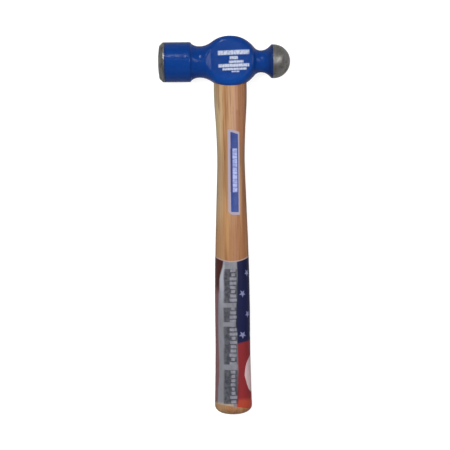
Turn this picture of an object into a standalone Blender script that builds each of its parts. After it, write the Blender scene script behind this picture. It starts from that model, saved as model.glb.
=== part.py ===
"""A 32 oz ball peen hammer: a forged head wedged on a hickory handle, with a label and a grip film.

Metres, +Z up. The hammer lies on its side on a bench. X runs along the head, from the striking
face (-X) to the ball (+X). Y runs along the handle, from the butt (-Y) to the head (+Y).
Every size is given from the eye centre, where the head's axis crosses the handle's. An empty
puts the eye centre where the whole hammer's box stands centred on the world's origin.
"""

import math

import bmesh
import bpy
from mathutils import Matrix

MM = 0.001

# Driving dimensions.
OVERALL_LENGTH = 387 * MM
GAP = 0.3 * MM  # between pieces that touch on the real hammer
ENVELOPE_GAP = 0.36 * MM  # the same where the surface slopes
FILM_GAP = 0.2 * MM  # between the wood and what is stuck on it

# Head, along its own axis.
FACE_REACH = 73.4 * MM  # eye centre to striking face
FACE_RADIUS = 20.5 * MM
FACE_FLAT_RADIUS = 8 * MM  # middle of the crowned face
CROWN_RADIUS = 100 * MM
CHAMFER_INNER_RADIUS = 16.9 * MM
POLL_LENGTH = 27.2 * MM  # straight cylinder behind the chamfer
POLL_SHOULDER_RADIUS = 2 * MM
POLL_SHOULDER_TURN = 74  # degrees of that rounding, down to a crisp corner
FACE_NECK_REACH = 31.3 * MM
FACE_NECK_RADIUS = 16.15 * MM
FACE_NECK_HOLLOW = 13.8 * MM  # fillet between that neck and the poll's shoulder
PEEN_REACH = 61.6 * MM  # eye centre to the tip of the ball
PEEN_RADIUS = 17.4 * MM
PEEN_NECK_REACH = 31.4 * MM
PEEN_NECK_RADIUS = 11.3 * MM
PEEN_NECK_HOLLOW = 12.1 * MM  # fillet between that neck and the ball's collar
PEEN_COLLAR_TURN = 96  # degrees from the ball's tip to the collar's edge
PEEN_TIP_RADIUS = 1.5 * MM  # small flat that closes the ball

# Head, around the eye.
BOSS_HALF_HEIGHT = 25.8 * MM
BOSS_ARC_RADIUS = 32.9 * MM
CHEEK_HALF_THICKNESS = 15.3 * MM
CHEEK_BLEND = 3 * MM  # rounding where the flat cheeks run out into the necks
CHEEK_EDGE_RADIUS = 6 * MM  # between a cheek and the top of the boss
CHEEK_FADE_START = 19 * MM  # from here out to the necks the section turns round
CHEEK_FADE_END = 31 * MM
CHEEK_FADE_RISE = 6 * MM
EYE_HALF_LENGTH = 13.3 * MM  # at the waist, along X
EYE_HALF_WIDTH = 9.3 * MM  # at the waist, along Z
EYE_FLARE = 1.1 * MM  # how much wider each mouth is, on each side

# Handle. Each station is (distance below the eye centre, half-width, half-thickness).
HANDLE_STATIONS = [
    (10 * MM, 16.7 * MM, 11.9 * MM),
    (39 * MM, 16.7 * MM, 11.8 * MM),
    (69 * MM, 15.0 * MM, 10.8 * MM),
    (101 * MM, 14.1 * MM, 10.2 * MM),
    (147 * MM, 15.5 * MM, 11.2 * MM),
    (196 * MM, 17.0 * MM, 12.4 * MM),
    (246 * MM, 17.7 * MM, 13.1 * MM),
    (295 * MM, 17.7 * MM, 13.3 * MM),
    (339 * MM, 18.5 * MM, 13.7 * MM),
    (350.5 * MM, 18.9 * MM, 13.9 * MM),
]
HANDLE_STATION_STEP = 14 * MM
BUTT_POWER = 2.3  # roundness of the dome at the butt
BUTT_FLAT_SHARE = 0.16  # small flat that closes the dome
OVAL_POWER = 2.25  # 2 is an ellipse, more is squarer

# Wedges.
CUT_TOP = 32 * MM  # cutters and blanks reach this far above the eye centre
CUT_START = 10 * MM
ENVELOPE_REACH = 26 * MM  # the handle's shoulder is cut to the boss up to here, along X
TENON_ROOT = -38 * MM  # where the tenon's core ends, inside the handle
KERF_DEPTH = 38 * MM
KERF_TOP_THICKNESS = 4.2 * MM
KERF_FOOT_THICKNESS = 1.3 * MM
WOOD_WEDGE_LENGTH = 25 * MM
STEEL_WEDGE_OFFSET = 6.5 * MM  # each side of the handle's axis
STEEL_WEDGE_WIDTH = 12.7 * MM
STEEL_WEDGE_DEPTH = 19 * MM
STEEL_WEDGE_TOP_THICKNESS = 2.8 * MM
STEEL_WEDGE_TIP_THICKNESS = 0.7 * MM

# Label and grip film.
LABEL_CENTRE_X = 2.75 * MM
LABEL_WIDTH = 11.9 * MM
LABEL_TOP = 71.9 * MM  # below the eye centre
LABEL_LENGTH = 83.5 * MM
LABEL_SLANT = 0.3  # fall of its ends for each metre across
LABEL_THICKNESS = 0.25 * MM
FILM_TOP = 201.2 * MM  # below the eye centre
FILM_BOTTOM = 348.5 * MM
FILM_WAVE = 2.6 * MM  # rise and fall of its upper edge
FILM_SLANT = 2 * MM  # fall of its lower edge towards the peen side
FILM_THICKNESS = 0.3 * MM

HEAD_QUARTER_POINTS = 8
HANDLE_RING_POINTS = 32
DOME_STEPS = 6
EYE_STEPS = 6
FACE_STEPS = 2
CORNER_STEPS = 3
HOLLOW_STEPS = 4
BOSS_STEPS = 12
BALL_STEPS = 8
FILM_ROWS = 9


# Curves and sections.


def ramp(low, high, value):
    """0 below low, 1 above high, smooth between."""
    share = min(max((value - low) / (high - low), 0.0), 1.0)
    return share * share * (3 - 2 * share)


def smooth_min(first, second, blend):
    """The smaller of the two, rounded where they cross."""
    overlap = max(blend - abs(first - second), 0.0) / blend
    return min(first, second) - overlap * overlap * blend / 4


def arc(centre_x, centre_y, radius, start, end, steps):
    """Points on an arc between two angles in degrees, both ends included."""
    angles = [math.radians(start + (end - start) * i / steps) for i in range(steps + 1)]
    return [
        (centre_x + radius * math.cos(a), centre_y + radius * math.sin(a)) for a in angles
    ]


def oval_point(half_width, half_thickness, turn):
    """(x, z) on the handle's oval at an angle from +X."""
    power = 2 / OVAL_POWER
    return (
        half_width * math.copysign(abs(math.cos(turn)) ** power, math.cos(turn)),
        half_thickness * math.copysign(abs(math.sin(turn)) ** power, math.sin(turn)),
    )


def oval_ring(y, half_width, half_thickness):
    """A ring of the handle's oval at height y."""
    ring = []
    for i in range(HANDLE_RING_POINTS):
        x, z = oval_point(half_width, half_thickness, math.tau * i / HANDLE_RING_POINTS)
        ring.append((x, y, z))
    return ring


def handle_size(below):
    """The handle's (half-width, half-thickness) at a distance below the eye centre."""
    at = [s[0] for s in HANDLE_STATIONS]
    last = len(at) - 1
    i = min(max(sum(below > a for a in at) - 1, 0), last - 1)
    share = (below - at[i]) / (at[i + 1] - at[i])
    before, after = max(i - 1, 0), min(i + 2, last)
    size = []
    for k in (1, 2):
        p = [HANDLE_STATIONS[j][k] for j in (before, i, i + 1, after)]
        step = at[i + 1] - at[i]
        leave = (p[2] - p[0]) / (at[i + 1] - at[before]) * step
        arrive = (p[3] - p[1]) / (at[after] - at[i]) * step
        bend = (2 * share**3 - 3 * share**2 + 1) * p[1] + (share**3 - 2 * share**2 + share) * leave
        size.append(bend + (3 * share**2 - 2 * share**3) * p[2] + (share**3 - share**2) * arrive)
    return tuple(size)


# Blender helpers.


def clear_scene():
    for obj in list(bpy.data.objects):
        bpy.data.objects.remove(obj, do_unlink=True)


def material(name, colour, roughness, metallic):
    made = bpy.data.materials.new(name)
    made.use_nodes = True
    shader = made.node_tree.nodes["Principled BSDF"]
    shader.inputs["Base Color"].default_value = (*colour, 1)
    shader.inputs["Roughness"].default_value = roughness
    shader.inputs["Metallic"].default_value = metallic
    return made


def add_object(name, mesh, collection, frame, finish=None):
    """An object placed from the eye centre. With no finish it is a cutter."""
    obj = bpy.data.objects.new(name, mesh)
    collection.objects.link(obj)
    obj.parent = frame
    if finish is None:
        obj.hide_render = True
        obj.display_type = "WIRE"
    else:
        mesh.materials.append(finish)
    return obj


def mesh_from(name, bm, smooth=True):
    bmesh.ops.recalc_face_normals(bm, faces=bm.faces)
    mesh = bpy.data.meshes.new(name)
    bm.to_mesh(mesh)
    bm.free()
    if smooth:
        mesh.shade_smooth()
        mesh.set_sharp_from_angle(angle=math.radians(35))
    return mesh


def loft_mesh(name, rings):
    """A closed solid through rings of equally many points, flat on its first and last ring."""
    bm = bmesh.new()
    rows = [[bm.verts.new(p) for p in ring] for ring in rings]
    count = len(rings[0])
    for lower, upper in zip(rows, rows[1:]):
        for i in range(count):
            j = (i + 1) % count
            bm.faces.new((lower[i], lower[j], upper[j], upper[i]))
    bm.faces.new(rows[0])
    bm.faces.new(rows[-1])
    return mesh_from(name, bm)


def taper_mesh(name, size_x, top_y, foot_y, top_z, foot_z):
    """A wedge block between two heights, its faces closing in Z towards the foot."""
    bm = bmesh.new()
    bmesh.ops.create_cube(bm, size=1)
    for v in bm.verts:
        top = v.co.y > 0
        v.co.x *= size_x
        v.co.y = top_y if top else foot_y
        v.co.z *= top_z if top else foot_z
    return mesh_from(name, bm, smooth=False)


def boolean(obj, other, operation):
    modifier = obj.modifiers.new(f"{operation.lower()} {other.name}", "BOOLEAN")
    modifier.operation = operation
    modifier.object = other


def solidify(obj, thickness):
    modifier = obj.modifiers.new("thickness", "SOLIDIFY")
    modifier.thickness = thickness
    modifier.offset = 1


# The head.


def boss_fillet(neck_reach, neck_radius):
    """(degrees turned, radius) of the fillet that runs tangent from a neck to the boss's arc."""
    drop = BOSS_HALF_HEIGHT - neck_radius
    joined = (neck_reach**2 + drop**2) / (2 * drop)
    return math.degrees(math.asin(neck_reach / joined)), joined - BOSS_ARC_RADIUS


def poll_profile():
    """(x, half-height) from the striking face to the neck behind the poll."""
    flat = math.degrees(math.asin(FACE_FLAT_RADIUS / CROWN_RADIUS))
    rim = math.degrees(math.asin(CHAMFER_INNER_RADIUS / CROWN_RADIUS))
    crown = arc(0, 0, CROWN_RADIUS, 180 - flat, 180 - rim, FACE_STEPS)
    shift = -FACE_REACH - crown[0][0]
    points = [(x + shift, y) for x, y in crown]
    points.append((points[-1][0] + FACE_RADIUS - CHAMFER_INNER_RADIUS, FACE_RADIUS))
    end, shoulder_y = points[-1][0] + POLL_LENGTH, FACE_RADIUS - POLL_SHOULDER_RADIUS
    turned = 90 - POLL_SHOULDER_TURN
    points += arc(end, shoulder_y, POLL_SHOULDER_RADIUS, 90, turned, CORNER_STEPS)
    run = points[-1][0] + FACE_NECK_REACH
    lean = math.degrees(math.asin(-run / FACE_NECK_HOLLOW))
    hollow_y = FACE_NECK_RADIUS + FACE_NECK_HOLLOW
    hollow = arc(-FACE_NECK_REACH, hollow_y, FACE_NECK_HOLLOW, 270 - lean, 270, HOLLOW_STEPS)
    return points + hollow[1:]


def boss_profile():
    """(x, half-height) from the neck behind the poll to the neck behind the ball."""
    face_turn, face_fillet = boss_fillet(FACE_NECK_REACH, FACE_NECK_RADIUS)
    peen_turn, peen_fillet = boss_fillet(PEEN_NECK_REACH, PEEN_NECK_RADIUS)
    centre_y = FACE_NECK_RADIUS + face_fillet
    points = arc(-FACE_NECK_REACH, centre_y, face_fillet, 270, 270 + face_turn, HOLLOW_STEPS)
    boss_y = BOSS_HALF_HEIGHT - BOSS_ARC_RADIUS
    points += arc(0, boss_y, BOSS_ARC_RADIUS, 90 + face_turn, 90 - peen_turn, BOSS_STEPS)[1:]
    centre_y = PEEN_NECK_RADIUS + peen_fillet
    hollow = arc(PEEN_NECK_REACH, centre_y, peen_fillet, 270 - peen_turn, 270, HOLLOW_STEPS)
    return points + hollow[1:]


def ball_profile():
    """(x, half-height) from the neck behind the ball to its tip."""
    flare_y = PEEN_NECK_RADIUS + PEEN_NECK_HOLLOW
    points = arc(PEEN_NECK_REACH, flare_y, PEEN_NECK_HOLLOW, 270, 315, HOLLOW_STEPS)
    tip = math.degrees(math.asin(PEEN_TIP_RADIUS / PEEN_RADIUS))
    ball_x = PEEN_REACH - PEEN_RADIUS
    return points + arc(ball_x, 0, PEEN_RADIUS, PEEN_COLLAR_TURN, tip, BALL_STEPS)


def head_profile():
    """(x, half-height) from the middle of the striking face to the tip of the ball."""
    return poll_profile() + boss_profile()[1:] + ball_profile()[1:]


def head_ring(x, half_height, extra=0):
    """One ring of the head: round, turning flat-sided at the boss, larger by extra all round."""
    fade = ramp(CHEEK_FADE_START, CHEEK_FADE_END, abs(x))
    flatness, half_thickness = 0, half_height
    if fade < 1:
        cheek = CHEEK_HALF_THICKNESS + CHEEK_FADE_RISE * fade
        half_thickness = smooth_min(half_height, cheek, CHEEK_BLEND)
        flatness = ramp(CHEEK_HALF_THICKNESS - CHEEK_BLEND, BOSS_HALF_HEIGHT, half_height)
        flatness *= 1 - fade
    corner = half_thickness + (CHEEK_EDGE_RADIUS - half_thickness) * flatness
    ring = []
    for i in range(4 * HEAD_QUARTER_POINTS):
        quarter, step = divmod(i, HEAD_QUARTER_POINTS)
        if quarter % 2:
            step = HEAD_QUARTER_POINTS - step
        if step == 0:
            high, thick = half_height + extra, 0
        elif step == HEAD_QUARTER_POINTS:
            high, thick = 0, half_thickness + extra
        else:
            turn_round = step / HEAD_QUARTER_POINTS
            turn_square = (step - 1) / (HEAD_QUARTER_POINTS - 2)
            turn = math.pi / 2 * (turn_round + (turn_square - turn_round) * flatness)
            high = half_height - corner + (corner + extra) * math.cos(turn)
            thick = half_thickness - corner + (corner + extra) * math.sin(turn)
        ring.append((x, high if quarter in (0, 3) else -high, thick if quarter < 2 else -thick))
    return ring


def eye_rings(clearance, low, high):
    """Rings of the eye's oval bore, narrowest at the waist, smaller by clearance all round."""
    rings = []
    for i in range(EYE_STEPS + 1):
        y = low + (high - low) * i / EYE_STEPS
        flare = EYE_FLARE * min(abs(y) / BOSS_HALF_HEIGHT, 1) ** 2 - clearance
        rings.append(oval_ring(y, EYE_HALF_LENGTH + flare, EYE_HALF_WIDTH + flare))
    return rings


def make_head(parts, cutters, frame):
    rings = [head_ring(x, y) for x, y in head_profile()]
    finish = material("blue_enamel", (0.014, 0.046, 0.22), 0.3, 0)
    head = add_object("hammer_head", loft_mesh("hammer_head", rings), parts, frame, finish)
    rings = eye_rings(0, -CUT_TOP, CUT_TOP)
    bore = add_object("eye_cutter", loft_mesh("eye", rings), cutters, frame)
    boolean(head, bore, "DIFFERENCE")


# The handle and its wedges.


def boss_envelope(cutters, frame):
    """The outside of the boss, a gap larger, which the handle's shoulder is cut to."""
    profile = [p for p in head_profile() if abs(p[0]) < ENVELOPE_REACH]
    rings = [head_ring(x, y, ENVELOPE_GAP) for x, y in profile]
    return add_object("boss_envelope", loft_mesh("envelope", rings), cutters, frame)


def end_cutter(cutters, frame, envelope):
    """A block over the top of the eye, hollowed to the crown of the boss."""
    size = 4 * BOSS_HALF_HEIGHT
    mesh = taper_mesh("end", size, size, CUT_START, size, size)
    cutter = add_object("end_cutter", mesh, cutters, frame)
    boolean(cutter, envelope, "DIFFERENCE")
    return cutter


def steel_wedge_mesh(name, side, clearance):
    """A steel wedge on one side of the handle's axis, set across the wooden one."""
    mesh = taper_mesh(
        name,
        STEEL_WEDGE_WIDTH + 2 * clearance,
        CUT_TOP,
        BOSS_HALF_HEIGHT - STEEL_WEDGE_DEPTH - clearance,
        STEEL_WEDGE_TOP_THICKNESS + 2 * clearance,
        STEEL_WEDGE_TIP_THICKNESS + 2 * clearance,
    )
    mesh.transform(Matrix.Rotation(math.pi / 2, 4, "Y"))
    mesh.transform(Matrix.Translation((side * STEEL_WEDGE_OFFSET, 0, 0)))
    return mesh


def handle_rings():
    """Rings from the blunt top, inside the head's seat, down to the dome of the butt."""
    bottom = OVERALL_LENGTH - BOSS_HALF_HEIGHT - ENVELOPE_GAP
    start, dome = HANDLE_STATIONS[0][0], HANDLE_STATIONS[-1][0]
    steps = round((dome - start) / HANDLE_STATION_STEP)
    rings = []
    for i in range(steps + 1):
        below = start + (dome - start) * i / steps
        rings.append(oval_ring(-below, *handle_size(below)))
    half_width, half_thickness = handle_size(dome)
    for i in range(1, DOME_STEPS + 1):
        share = math.sin(math.pi / 2 * i / DOME_STEPS)
        shrink = max(1 - share**BUTT_POWER, 0) ** (1 / BUTT_POWER)
        shrink = max(shrink, BUTT_FLAT_SHARE)
        below = dome + (bottom - dome) * share
        rings.append(oval_ring(-below, half_width * shrink, half_thickness * shrink))
    return rings


def kerf_taper(name, length, clearance):
    """The tapered slot sawn down the tenon, or the wooden wedge a clearance smaller."""
    foot = BOSS_HALF_HEIGHT - KERF_DEPTH + 2 * clearance
    spread = (KERF_TOP_THICKNESS - KERF_FOOT_THICKNESS) / KERF_DEPTH
    top_thickness = KERF_TOP_THICKNESS + spread * (CUT_TOP - BOSS_HALF_HEIGHT)
    foot_thickness = KERF_FOOT_THICKNESS + spread * 2 * clearance
    less = 2 * clearance
    return taper_mesh(name, length, CUT_TOP, foot, top_thickness - less, foot_thickness - less)


def make_handle(parts, cutters, frame, envelope, end, slots):
    finish = material("hickory", (0.45, 0.26, 0.13), 0.45, 0)
    handle = add_object("handle", loft_mesh("handle", handle_rings()), parts, frame, finish)
    boolean(handle, envelope, "DIFFERENCE")
    rings = eye_rings(GAP, TENON_ROOT, CUT_TOP)
    tenon = add_object("tenon", loft_mesh("tenon", rings), cutters, frame)
    boolean(tenon, end, "DIFFERENCE")
    boolean(handle, tenon, "UNION")
    kerf_mesh = kerf_taper("kerf", 2 * FACE_NECK_REACH, 0)
    boolean(handle, add_object("kerf_cutter", kerf_mesh, cutters, frame), "DIFFERENCE")
    for slot in slots:
        boolean(handle, slot, "DIFFERENCE")


def make_wooden_wedge(parts, frame, end, slots):
    finish = material("pale_wood", (0.6, 0.42, 0.24), 0.6, 0)
    mesh = kerf_taper("wooden_wedge", WOOD_WEDGE_LENGTH, GAP)
    wedge = add_object("wooden_wedge", mesh, parts, frame, finish)
    boolean(wedge, end, "DIFFERENCE")
    for slot in slots:
        boolean(wedge, slot, "DIFFERENCE")


def make_steel_wedges(parts, cutters, frame, end):
    """The two steel wedges; gives back the slots that they are driven into."""
    finish = material("wedge_steel", (0.35, 0.34, 0.32), 0.45, 1)
    slots = []
    for side, name in ((-1, "steel_wedge_face_side"), (1, "steel_wedge_peen_side")):
        wedge = add_object(name, steel_wedge_mesh(name, side, 0), parts, frame, finish)
        boolean(wedge, end, "DIFFERENCE")
        slot_mesh = steel_wedge_mesh(f"{name}_slot", side, GAP)
        slots.append(add_object(f"{name}_slot", slot_mesh, cutters, frame))
    return slots


# What is stuck on the handle.


def make_label(parts, frame):
    """A narrow sticker on the upper side of the handle, its ends cut on a slant."""
    bm = bmesh.new()
    bmesh.ops.create_grid(bm, x_segments=4, y_segments=9, size=0.5)
    for v in bm.verts:
        x = LABEL_CENTRE_X + v.co.x * LABEL_WIDTH
        y = -LABEL_TOP - LABEL_LENGTH * (0.5 - v.co.y) - LABEL_SLANT * v.co.x * LABEL_WIDTH
        half_width, half_thickness = handle_size(-y)
        across = abs(x) / (half_width + FILM_GAP)
        z = (half_thickness + FILM_GAP) * (1 - across**OVAL_POWER) ** (1 / OVAL_POWER)
        v.co = (x, y, z)
    finish = material("label_film", (0.045, 0.09, 0.3), 0.35, 0)
    label = add_object("handle_label", mesh_from("handle_label", bm), parts, frame, finish)
    solidify(label, LABEL_THICKNESS)


def film_edges(turn):
    """How far below the eye centre the film's two edges lie, at an angle round the handle."""
    top = FILM_TOP - FILM_WAVE * math.cos(2 * turn)
    return top, FILM_BOTTOM + FILM_SLANT * math.cos(turn)


def make_grip_film(parts, frame):
    """A printed sleeve shrunk on the grip, its upper edge wavy and its lower edge slanted."""
    bm = bmesh.new()
    rows = []
    for step in range(FILM_ROWS + 1):
        row = []
        for i in range(HANDLE_RING_POINTS):
            turn = math.tau * i / HANDLE_RING_POINTS
            top, bottom = film_edges(turn)
            below = top + (bottom - top) * step / FILM_ROWS
            half_width, half_thickness = handle_size(below)
            x, z = oval_point(half_width + FILM_GAP, half_thickness + FILM_GAP, turn)
            row.append(bm.verts.new((x, -below, z)))
        rows.append(row)
    for upper, lower in zip(rows, rows[1:]):
        for i in range(HANDLE_RING_POINTS):
            j = (i + 1) % HANDLE_RING_POINTS
            bm.faces.new((upper[i], lower[i], lower[j], upper[j]))
    finish = material("grip_film", (0.1, 0.07, 0.12), 0.4, 0)
    film = add_object("grip_film", mesh_from("grip_film", bm), parts, frame, finish)
    solidify(film, FILM_THICKNESS)


def main():
    clear_scene()
    parts = bpy.data.collections.new("ball_peen_hammer")
    cutters = bpy.data.collections.new("cutters")
    for collection in (parts, cutters):
        bpy.context.scene.collection.children.link(collection)
    frame = bpy.data.objects.new("eye_centre", None)
    parts.objects.link(frame)
    frame.location = (
        (FACE_REACH - PEEN_REACH) / 2,
        OVERALL_LENGTH / 2 - BOSS_HALF_HEIGHT - ENVELOPE_GAP,
        FACE_RADIUS,
    )
    make_head(parts, cutters, frame)
    envelope = boss_envelope(cutters, frame)
    end = end_cutter(cutters, frame, envelope)
    slots = make_steel_wedges(parts, cutters, frame, end)
    make_handle(parts, cutters, frame, envelope, end, slots)
    make_wooden_wedge(parts, frame, end, slots)
    make_label(parts, frame)
    make_grip_film(parts, frame)


main()
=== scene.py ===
"""The looks of a 32 oz ball peen hammer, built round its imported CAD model.

Metres in the frame, millimetres in the shaders. The hammer lies on its side, its head along X with
the striking face at -X, its handle along Y with the butt at -Y. Every size is given from the eye
centre, where the head's axis crosses the handle's.
"""

import math

import bmesh
import bpy
import numpy as np
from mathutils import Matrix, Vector, noise


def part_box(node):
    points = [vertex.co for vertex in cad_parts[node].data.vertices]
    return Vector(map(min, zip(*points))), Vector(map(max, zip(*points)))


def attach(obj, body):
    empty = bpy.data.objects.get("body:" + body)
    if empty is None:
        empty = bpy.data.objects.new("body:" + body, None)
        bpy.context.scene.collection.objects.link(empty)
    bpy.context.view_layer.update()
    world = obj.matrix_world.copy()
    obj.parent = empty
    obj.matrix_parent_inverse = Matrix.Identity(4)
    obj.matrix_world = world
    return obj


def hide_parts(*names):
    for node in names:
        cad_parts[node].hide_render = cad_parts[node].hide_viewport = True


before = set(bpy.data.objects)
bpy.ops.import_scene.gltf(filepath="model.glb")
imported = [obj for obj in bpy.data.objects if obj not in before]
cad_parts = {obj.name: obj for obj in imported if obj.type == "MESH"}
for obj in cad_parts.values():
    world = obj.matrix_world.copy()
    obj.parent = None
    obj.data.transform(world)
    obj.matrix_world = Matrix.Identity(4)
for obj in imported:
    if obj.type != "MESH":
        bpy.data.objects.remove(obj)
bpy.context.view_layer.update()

MM = 0.001

# The head, along its own axis.
FACE_REACH = 73.4 * MM
FACE_RADIUS = 20.5 * MM
FACE_FLAT_RADIUS = 8 * MM
CROWN_RADIUS = 100 * MM
CHAMFER_INNER_RADIUS = 16.9 * MM
POLL_LENGTH = 27.2 * MM
POLL_SHOULDER_RADIUS = 2 * MM
POLL_SHOULDER_TURN = 74
FACE_NECK_REACH = 31.3 * MM
FACE_NECK_RADIUS = 16.15 * MM
FACE_NECK_HOLLOW = 13.8 * MM
PEEN_REACH = 61.6 * MM
PEEN_RADIUS = 17.4 * MM
PEEN_NECK_REACH = 31.4 * MM
PEEN_NECK_RADIUS = 11.3 * MM
PEEN_NECK_HOLLOW = 12.1 * MM
PEEN_COLLAR_TURN = 96
PEEN_TIP_INSET = 0.06 * MM
FACE_PAINT_EDGE = -66.9 * MM  # the enamel stops here and bare steel begins
BALL_PAINT_EDGE = 43.9 * MM
CORNER_SOFTNESS = 0.4 * MM
SMOOTHING_POINTS = 8  # of the outline, to that softness
OUTLINE_STEP = CORNER_SOFTNESS / SMOOTHING_POINTS
TIP_RING_RADIUS = 0.8 * MM  # the smallest ring of each end, round its middle point

# The head, around the eye.
BOSS_HALF_HEIGHT = 25.8 * MM
BOSS_ARC_RADIUS = 32.9 * MM
CHEEK_HALF_THICKNESS = 15.3 * MM
CHEEK_BLEND = 3 * MM
CHEEK_EDGE_RADIUS = 6 * MM
CHEEK_FADE_START = 19 * MM
CHEEK_FADE_END = 31 * MM
CHEEK_FADE_RISE = 6 * MM
FORGING_HOLLOW = 0.11 * MM  # depth of its hollows, which fade out towards each end
FORGING_FACE_FADE = (-42 * MM, -36 * MM)
FORGING_PEEN_FADE = (41 * MM, 35 * MM)
EYE_HALF_LENGTH = 13.3 * MM
EYE_HALF_WIDTH = 9.3 * MM
EYE_FLARE = 1.1 * MM
EYE_RIM = 0.7 * MM  # rounding of each mouth
EYE_PATCH = 17 * MM  # half-length of the patch that each mouth is cut in
EYE_PATCH_POINTS = 11  # ring points from the middle of that patch to its edge
EYE_PATCH_STEPS = 24
CROWN_PROUD = 0.36 * MM  # CAD room over the crown of the boss

# The handle. Each station is (distance below the eye centre, half-width, half-thickness).
HANDLE_STATIONS = [
    (10, 16.7, 11.9),
    (39, 16.7, 11.8),
    (69, 15.0, 10.8),
    (101, 14.1, 10.2),
    (147, 15.5, 11.2),
    (196, 17.0, 12.4),
    (246, 17.7, 13.1),
    (295, 17.7, 13.3),
    (339, 18.5, 13.7),
    (350.5, 18.9, 13.9),
]
HANDLE_STATIONS = np.array(HANDLE_STATIONS) * MM
HANDLE_BOTTOM = 360.82 * MM
BUTT_POWER = 2.3
BUTT_FLAT_SHARE = 0.16
OVAL_POWER = 2.25
COPE_END = 39 * MM  # from here down the handle's rings are level

HICKORY_TONES_AND_SHADE = (  # from the face side to the peen side, as displayed; the darkest tones at the peen-side edge are partly painted shade
    (0.0, (182, 164, 130)),
    (0.27, (194, 168, 130)),
    (0.4, (186, 138, 92)),
    (0.53, (190, 150, 114)),
    (0.67, (190, 146, 120)),
    (0.8, (162, 108, 74)),
    (0.92, (154, 102, 74)),
    (1.0, (140, 94, 72)),
)

# Wedges.
KERF_DEPTH = 38 * MM
KERF_TOP = 4.2 * MM
KERF_FOOT = 1.3 * MM
WOOD_WEDGE_LENGTH = 25 * MM
STEEL_WEDGE_OFFSET = 6.5 * MM
STEEL_WEDGE_WIDTH = 12.7 * MM
STEEL_WEDGE_DEPTH = 19 * MM
STEEL_WEDGE_TOP = 2.8 * MM
STEEL_WEDGE_TIP = 0.7 * MM
SLOT_GAP = 0.08 * MM  # round each steel wedge
CUT_TOP = 32 * MM  # cutters reach up to here, clear of the crown

# What is stuck on the handle.
LABEL_CENTRE_X = 2.75 * MM
LABEL_WIDTH = 11.9 * MM
LABEL_TOP = 71.9 * MM
LABEL_LENGTH = 83.5 * MM
LABEL_TOP_RISE = 1.9 * MM
LABEL_FOOT_DROP = 1.5 * MM
LABEL_TOP_BEND = -1.5 * MM  # across the label, where its top edge begins to fall
LABEL_TOP_FALL = 0.34
LABEL_FOOT_BEND = -2.4 * MM  # and where its bottom edge levels out
LABEL_FOOT_FALL = 0.75
LABEL_CORNER = 0.9 * MM
LABEL_LIFT = 0.13 * MM
FILM_TOP = 201.2 * MM
FILM_WAVE = 2.6 * MM
FILM_BOTTOM = 351.6 * MM
FILM_SLANT = 3 * MM
FILM_LIFT = 0.14 * MM
FILM_RUCK = 0.05 * MM
FILM_EDGE_DROP = 0.04 * MM
SEAT_LIFT = 0.02 * MM  # of the side towards the wood
GRIP_RADIUS = 17.4  # of the print's way round the grip, in millimetres
GRIP_ASPECT = 1.34  # the grip's width over its thickness
FILM_TOP_ASPECT = 1.32  # the same at the film's upper edge
FILM_INKS = (  # each in its darker and its lighter folds, as displayed
    ((106, 104, 114), (146, 148, 154)),  # pale
    ((56, 30, 28), (82, 46, 42)),  # red print darkened by painted shade at the face-side edge
    ((104, 70, 72), (134, 96, 100)),  # red print at the face-side edge lower down, in lighter painted shade
    ((108, 32, 38), (148, 46, 50)),  # red
    ((14, 16, 44), (28, 32, 76)),  # navy
)
STAR_COLUMNS = ((10.4, 216.0), (17.3, 195.0), (24.2, 216.0), (31.1, 195.0))  # (round, first row)
STAR_PITCH = 42.0
STAR_RADIUS = 3.9

QUARTER = 32  # ring points in each quarter of the head
AROUND = 96  # ring points round the handle

# The studio. Each light has a place, a size, a power and whether the gloss mirrors it.
LIGHTS = {
    "key_softbox": ((-0.8, 0.3, 2.1), (0.9, 0.9), 40, False),
    "peen_side_softbox": ((1.5, 0.1, 1.7), (1.3, 1.3), 4, False),
    "butt_side_softbox": ((0.0, -1.8, 1.6), (1.2, 1.2), 8, False),
    "peen_side_strip": ((1.0, 0.4, 1.5), (0.35, 1.8), 12, True),
    "crown_side_lamp": ((-0.28, 1.2, 1.65), (0.14, 0.45), 8, True),
    "camera_side_lamp": ((0.0, 0.46, 1.9), (0.12, 0.12), 0.35, True),
}
SKY_FADE = (0.03, 0.12)  # heights between which the sky goes from bright to dim
SKY_STRENGTH = (1.0, 0.22)
FLOOR_HALF = 20.0
FLOOR_GLOW = (0.05, 0.85)  # as other things see it, and as the camera does
CAMERA_PLACE = Vector((-6.8, -167.14, 1727.6)) * MM  # from the eye centre
CAMERA_TURN = -0.58
LENS = 135
SENSOR = 36

head_low, head_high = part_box("hammer_head")
eye_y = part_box("handle")[1].y - BOSS_HALF_HEIGHT - CROWN_PROUD
EYE = Vector((head_low.x + FACE_REACH, eye_y, (head_low.z + head_high.z) / 2))


# Curves and sections. Lengths may be numbers or arrays.


def ramp(low, high, value):
    """0 below low, 1 above high, smooth between."""
    share = np.clip((value - low) / (high - low), 0, 1)
    return share * share * (3 - 2 * share)


def smooth_min(first, second, blend):
    """The smaller of the two, rounded where they cross."""
    overlap = np.maximum(blend - np.abs(first - second), 0) / blend
    return np.minimum(first, second) - overlap * overlap * blend / 4


def arc(centre_x, centre_y, radius, start, end, steps=60):
    turn = np.radians(np.linspace(start, end, steps + 1))
    return np.stack([centre_x + radius * np.cos(turn), centre_y + radius * np.sin(turn)], 1)


def oval(half_width, half_thickness, turn):
    """(x, z) on the handle's oval at an angle from +X."""
    cos, sin, power = np.cos(turn), np.sin(turn), 2 / OVAL_POWER
    return (
        half_width * np.sign(cos) * np.abs(cos) ** power,
        half_thickness * np.sign(sin) * np.abs(sin) ** power,
    )


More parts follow.
